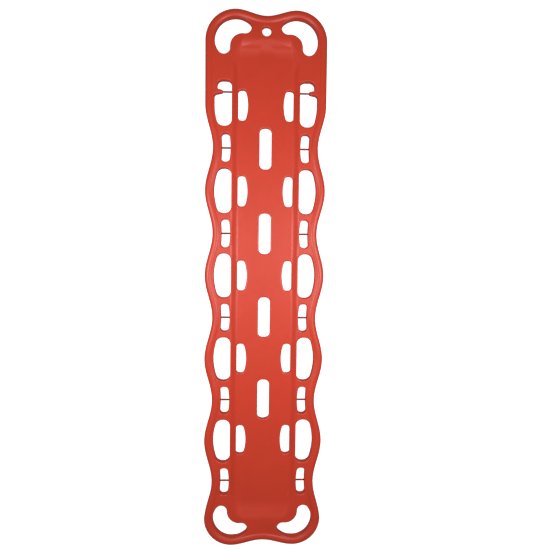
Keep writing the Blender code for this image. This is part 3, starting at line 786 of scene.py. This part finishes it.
class SPINEBOARD_OT_shell(Operator):
    """Model the seamless moulded shell, with every opening through it"""

    bl_idname = "spineboard.shell"
    bl_label = "Moulded Shell"

    def execute(self, context):
        board, holes = context.scene.spine_board, context.scene.spine_board_openings
        plan = Plan(board, holes)
        bands = [(spaced(plan.edge()), -1, rim_profile(board))]
        for loop, *flare in plan.openings():
            bands.append((spaced(loop), 1, flare_profile(*flare)))
        shell = self.flat_bands(bands)
        self.fill_between(shell)
        self.cut_for_slopes(shell, plan)
        self.raise_to_shape(shell, plan)
        self.finish(shell)
        shell.data.materials.append(moulded_polyethylene(context.scene.spine_board_colours.shell))
        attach(shell, "root")
        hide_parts(*SHELL_NODES)
        return {"FINISHED"}

    def flat_bands(self, bands):
        """The flat band along the edge and round each opening, ring by ring. The rings keep how far
        the top drops and the underside rises there."""
        points, faces, drops, rises, inner = [], [], [], [], []
        for loop, side, profile in bands:
            count = len(loop)
            for ring, (distance, drop, rise) in enumerate(profile):
                first = len(points)
                points += [(*point, 0) for point in offset(loop, side * distance)]
                drops += [drop] * count
                rises += [rise] * count
                inner += [ring == len(profile) - 1] * count
                if ring:
                    before = first - count
                    for i in range(count):
                        j = (i + 1) % count
                        faces.append((before + i, before + j, first + j, first + i))
        mesh = bpy.data.meshes.new("board_shell")
        mesh.from_pydata(points, [], faces)
        for name, kind, values in (
            ("drop", "FLOAT", drops),
            ("rise", "FLOAT", rises),
            ("to_fill", "BOOLEAN", inner),
        ):
            mesh.attributes.new(name, kind, "POINT").data.foreach_set("value", values)
        return active_object("board_shell", mesh)

    def fill_between(self, shell):
        bpy.ops.object.mode_set(mode="EDIT")
        bpy.ops.mesh.select_all(action="DESELECT")
        bpy.ops.mesh.select_mode(type="EDGE")
        shape = bmesh.from_edit_mesh(shell.data)
        layer = shape.verts.layers.bool.get("to_fill")
        for edge in shape.edges:
            edge.select_set(edge.is_boundary and all(vert[layer] for vert in edge.verts))
        bmesh.update_edit_mesh(shell.data)
        bpy.ops.mesh.fill(use_beauty=True)
        bpy.ops.object.mode_set(mode="OBJECT")

    def cut_for_slopes(self, shell, plan):
        """Cuts lines across the faces where the height changes."""
        board = plan.board
        top_y = plan.half_length - board.recess_end
        across = self.places(plan.strip_outer - board.slope_run, plan.strip_outer, SLOPE_CUT)
        spacing = SLOPE_CUT * END_CUT_SPREAD
        # The slope at the end of the recess stops at top_y, and the underside's starts there.
        along = self.places(top_y - board.end_run, top_y + board.slope_run, spacing)
        bpy.ops.object.mode_set(mode="EDIT")
        for axis, places in ((0, across), (1, along)):
            for place in places:
                for sign in (-1, 1):
                    point, normal = [0, 0, 0], [0, 0, 0]
                    point[axis], normal[axis] = sign * place, 1
                    bpy.ops.mesh.select_all(action="SELECT")
                    bpy.ops.mesh.bisect(plane_co=point, plane_no=normal, threshold=CUT_SNAP)
        bpy.ops.object.mode_set(mode="OBJECT")

    def places(self, low, high, spacing):
        """Where the cuts go, from a margin before low to the same margin after high."""
        margin = CUT_MARGIN * SLOPE_CUT
        return span(low - margin, high + margin, round((high - low + 2 * margin) / spacing))

    def raise_to_shape(self, shell, plan):
        """Extrudes the plan upward and moves both faces to their heights."""
        bpy.ops.object.mode_set(mode="EDIT")
        bpy.ops.mesh.select_all(action="SELECT")
        lift = {"value": (0, 0, plan.board.height)}
        bpy.ops.mesh.extrude_region_move(TRANSFORM_OT_translate=lift)
        bpy.ops.mesh.select_all(action="SELECT")
        bpy.ops.mesh.normals_make_consistent(inside=False)
        bpy.ops.object.mode_set(mode="OBJECT")
        mesh = shell.data
        count = len(mesh.vertices)
        places, drops, rises = np.empty(count * 3), np.empty(count), np.empty(count)
        mesh.vertices.foreach_get("co", places)
        mesh.attributes["drop"].data.foreach_get("value", drops)
        mesh.attributes["rise"].data.foreach_get("value", rises)
        places = places.reshape(-1, 3)
        flat = places[:, :2]
        top = places[:, 2] > plan.board.height / 2
        above, below = top_height(plan, flat) - drops, under_height(plan, flat) + rises
        places[:, 2] = np.where(top, above, below)
        mesh.vertices.foreach_set("co", places.ravel())
        for name in ("drop", "rise", "to_fill"):
            mesh.attributes.remove(mesh.attributes[name])
        mesh.update()

    def finish(self, shell):
        bpy.ops.object.shade_smooth()
        level = shell.modifiers.new("level", "WEIGHTED_NORMAL")
        level.weight = NORMAL_WEIGHT
        bpy.ops.object.modifier_apply(modifier=level.name)


class SPINEBOARD_OT_pins(Operator):
    """Model the strap pins, one for each pin of the frame"""

    bl_idname = "spineboard.pins"
    bl_label = "Strap Pins"

    def execute(self, context):
        steel = lacquered_steel(context.scene.spine_board_colours.pin)
        for node in PIN_NODES:
            low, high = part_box(node)
            pin = self.rod(node, low, high)
            pin.data.materials.append(steel)
            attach(pin, "root")
            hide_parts(node)
        return {"FINISHED"}

    def rod(self, node, low, high):
        """A drawn rod along X with rounded ends."""
        deselect()
        middle, length = low.lerp(high, 0.5), high.x - low.x
        bpy.ops.mesh.primitive_cylinder_add(
            vertices=PIN_SIDES,
            radius=(high.z - low.z) / 2,
            depth=length,
            location=middle,
            rotation=(0, math.pi / 2, 0),
        )
        pin = bpy.context.active_object
        pin.name = pin.data.name = f"{node}_rod"
        settle(pin)
        bpy.ops.object.mode_set(mode="EDIT")
        select_faces(pin, lambda face: abs(face.normal.x) > END_FACING)
        bpy.ops.mesh.bevel(offset=PIN_CHAMFER, segments=EDGE_SEGMENTS, affect="EDGES")
        select_faces(pin, lambda face: abs(face.normal.x) > END_FACING)
        bpy.ops.mesh.inset(thickness=PIN_INSET)
        bpy.ops.object.mode_set(mode="OBJECT")
        bpy.ops.object.shade_smooth_by_angle(angle=PIN_SMOOTH)
        return pin


class SPINEBOARD_OT_plugs(Operator):
    """Model the fill plug and the vent plugs in the underside"""

    bl_idname = "spineboard.plugs"
    bl_label = "Plugs"

    def execute(self, context):
        plastic = moulded_plug(context.scene.spine_board_colours.plug)
        for node in PLUG_NODES:
            low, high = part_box(node)
            plug = self.plug(node, low, high)
            plug.data.materials.append(plastic)
            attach(plug, "root")
            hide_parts(node)
        return {"FINISHED"}

    def plug(self, node, low, high):
        """A disc with a rounded rim round a dished face, and a raised centre to grip."""
        deselect()
        radius = (high.x - low.x) / 2
        bpy.ops.mesh.primitive_cylinder_add(
            vertices=PLUG_SIDES, radius=radius, depth=high.z - low.z, location=low.lerp(high, 0.5)
        )
        plug = bpy.context.active_object
        plug.name = plug.data.name = f"{node}_moulding"
        settle(plug)
        bpy.ops.object.mode_set(mode="EDIT")
        select_faces(plug, lambda face: face.normal.z < -END_FACING)
        bpy.ops.mesh.inset(thickness=radius * PLUG_RIM)
        sink = {"value": (0, 0, PLUG_DISH_DEPTH)}
        bpy.ops.mesh.extrude_region_move(TRANSFORM_OT_translate=sink)
        bpy.ops.mesh.inset(thickness=radius * PLUG_DISH)
        bpy.ops.mesh.inset(thickness=radius * PLUG_STEP)
        grip = {"value": (0, 0, -PLUG_GRIP_HEIGHT)}
        bpy.ops.mesh.extrude_region_move(TRANSFORM_OT_translate=grip)
        bpy.ops.object.mode_set(mode="OBJECT")
        edge = plug.modifiers.new("edge", "BEVEL")
        edge.width = PLUG_EDGE
        edge.segments = EDGE_SEGMENTS
        edge.limit_method = "ANGLE"
        bpy.ops.object.modifier_apply(modifier=edge.name)
        bpy.ops.object.shade_smooth_by_angle(angle=PLUG_SMOOTH)
        return plug


class SPINEBOARD_OT_filling(Operator):
    """Finish the foam core and the stiffener rods inside the shell"""

    bl_idname = "spineboard.filling"
    bl_label = "Foam Core and Rods"

    def execute(self, context):
        colours = context.scene.spine_board_colours
        foam, composite = closed_cell_foam(colours.foam), pultruded_composite(colours.rod)
        for node, finish in [("foam_core", foam)] + [(name, composite) for name in ROD_NODES]:
            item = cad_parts[node]
            item.data.materials.clear()
            item.data.materials.append(finish)
        return {"FINISHED"}


class SPINEBOARD_OT_stage(Operator):
    """Add the floor, the soft lights and the camera"""

    bl_idname = "spineboard.stage"
    bl_label = "Stage"

    def execute(self, context):
        deselect()
        bpy.ops.mesh.primitive_plane_add(size=FLOOR_SIZE, location=(0, 0, -FLOOR_DROP))
        floor = context.active_object
        floor.name = floor.data.name = "studio_floor"
        floor.data.materials.append(studio_floor(context.scene.spine_board_colours.floor))
        # The glowing paper doesn't light the board from below.
        floor.visible_diffuse = floor.visible_glossy = False
        for name, side in (("left", -1), ("right", 1)):
            self.soft_box(name, Vector((side * SOFT_BOX_ASIDE, SOFT_BOX_Y, SOFT_BOX_HEIGHT)))
        world = bpy.data.worlds.new("studio")
        world.use_nodes = True
        air = world.node_tree.nodes["Background"]
        air.inputs["Color"].default_value = (1, 1, 1, 1)
        air.inputs["Strength"].default_value = AIR_LIGHT
        context.scene.world = world
        context.scene.view_settings.view_transform = "Standard"
        self.camera(context)
        return {"FINISHED"}

    def soft_box(self, name, place):
        """A long area light beside and above a rail, aimed at the board's centre line."""
        turn = (Vector((0, place.y, 0)) - place).to_track_quat("-Z", "Y").to_euler()
        bpy.ops.object.light_add(type="AREA", location=place, rotation=turn)
        box = bpy.context.active_object
        box.name = box.data.name = f"soft_box_{name}"
        box.data.shape = "RECTANGLE"
        box.data.size, box.data.size_y = SOFT_BOX_WIDTH, SOFT_BOX_LENGTH
        box.data.energy = SOFT_BOX_POWER

    def camera(self, context):
        bpy.ops.object.camera_add(location=CAMERA_PLACE, rotation=CAMERA_TURN)
        camera = context.active_object
        camera.name = camera.data.name = "camera"
        camera.data.lens = CAMERA_LENS
        camera.data.sensor_width = CAMERA_SENSOR
        context.scene.camera = camera


OPERATORS = (
    SPINEBOARD_OT_shell,
    SPINEBOARD_OT_pins,
    SPINEBOARD_OT_plugs,
    SPINEBOARD_OT_filling,
    SPINEBOARD_OT_stage,
)
GROUPS = {
    "spine_board": BoardSizes,
    "spine_board_openings": OpeningSizes,
    "spine_board_colours": BoardColours,
}


class SPINEBOARD_PT_sidebar(Panel):
    """Buttons that build the board, and its sizes and colours"""

    bl_idname = "SPINEBOARD_PT_sidebar"
    bl_label = "Spine Board"
    bl_space_type = "VIEW_3D"
    bl_region_type = "UI"
    bl_category = "Spine Board"

    def draw(self, context):
        for operator in OPERATORS:
            self.layout.operator(operator.bl_idname)
        for name, group in GROUPS.items():
            box = self.layout.box()
            for field in group.__annotations__:
                box.prop(getattr(context.scene, name), field)


def register():
    for item in (*GROUPS.values(), *OPERATORS, SPINEBOARD_PT_sidebar):
        bpy.utils.register_class(item)
    for name, group in GROUPS.items():
        setattr(bpy.types.Scene, name, PointerProperty(type=group))


def unregister():
    for name in GROUPS:
        delattr(bpy.types.Scene, name)
    for item in (SPINEBOARD_PT_sidebar, *reversed(OPERATORS), *GROUPS.values()):
        bpy.utils.unregister_class(item)


def main():
    register()
    bpy.ops.spineboard.shell()
    bpy.ops.spineboard.pins()
    bpy.ops.spineboard.plugs()
    bpy.ops.spineboard.filling()
    bpy.ops.spineboard.stage()


if __name__ == "__main__":
    main()
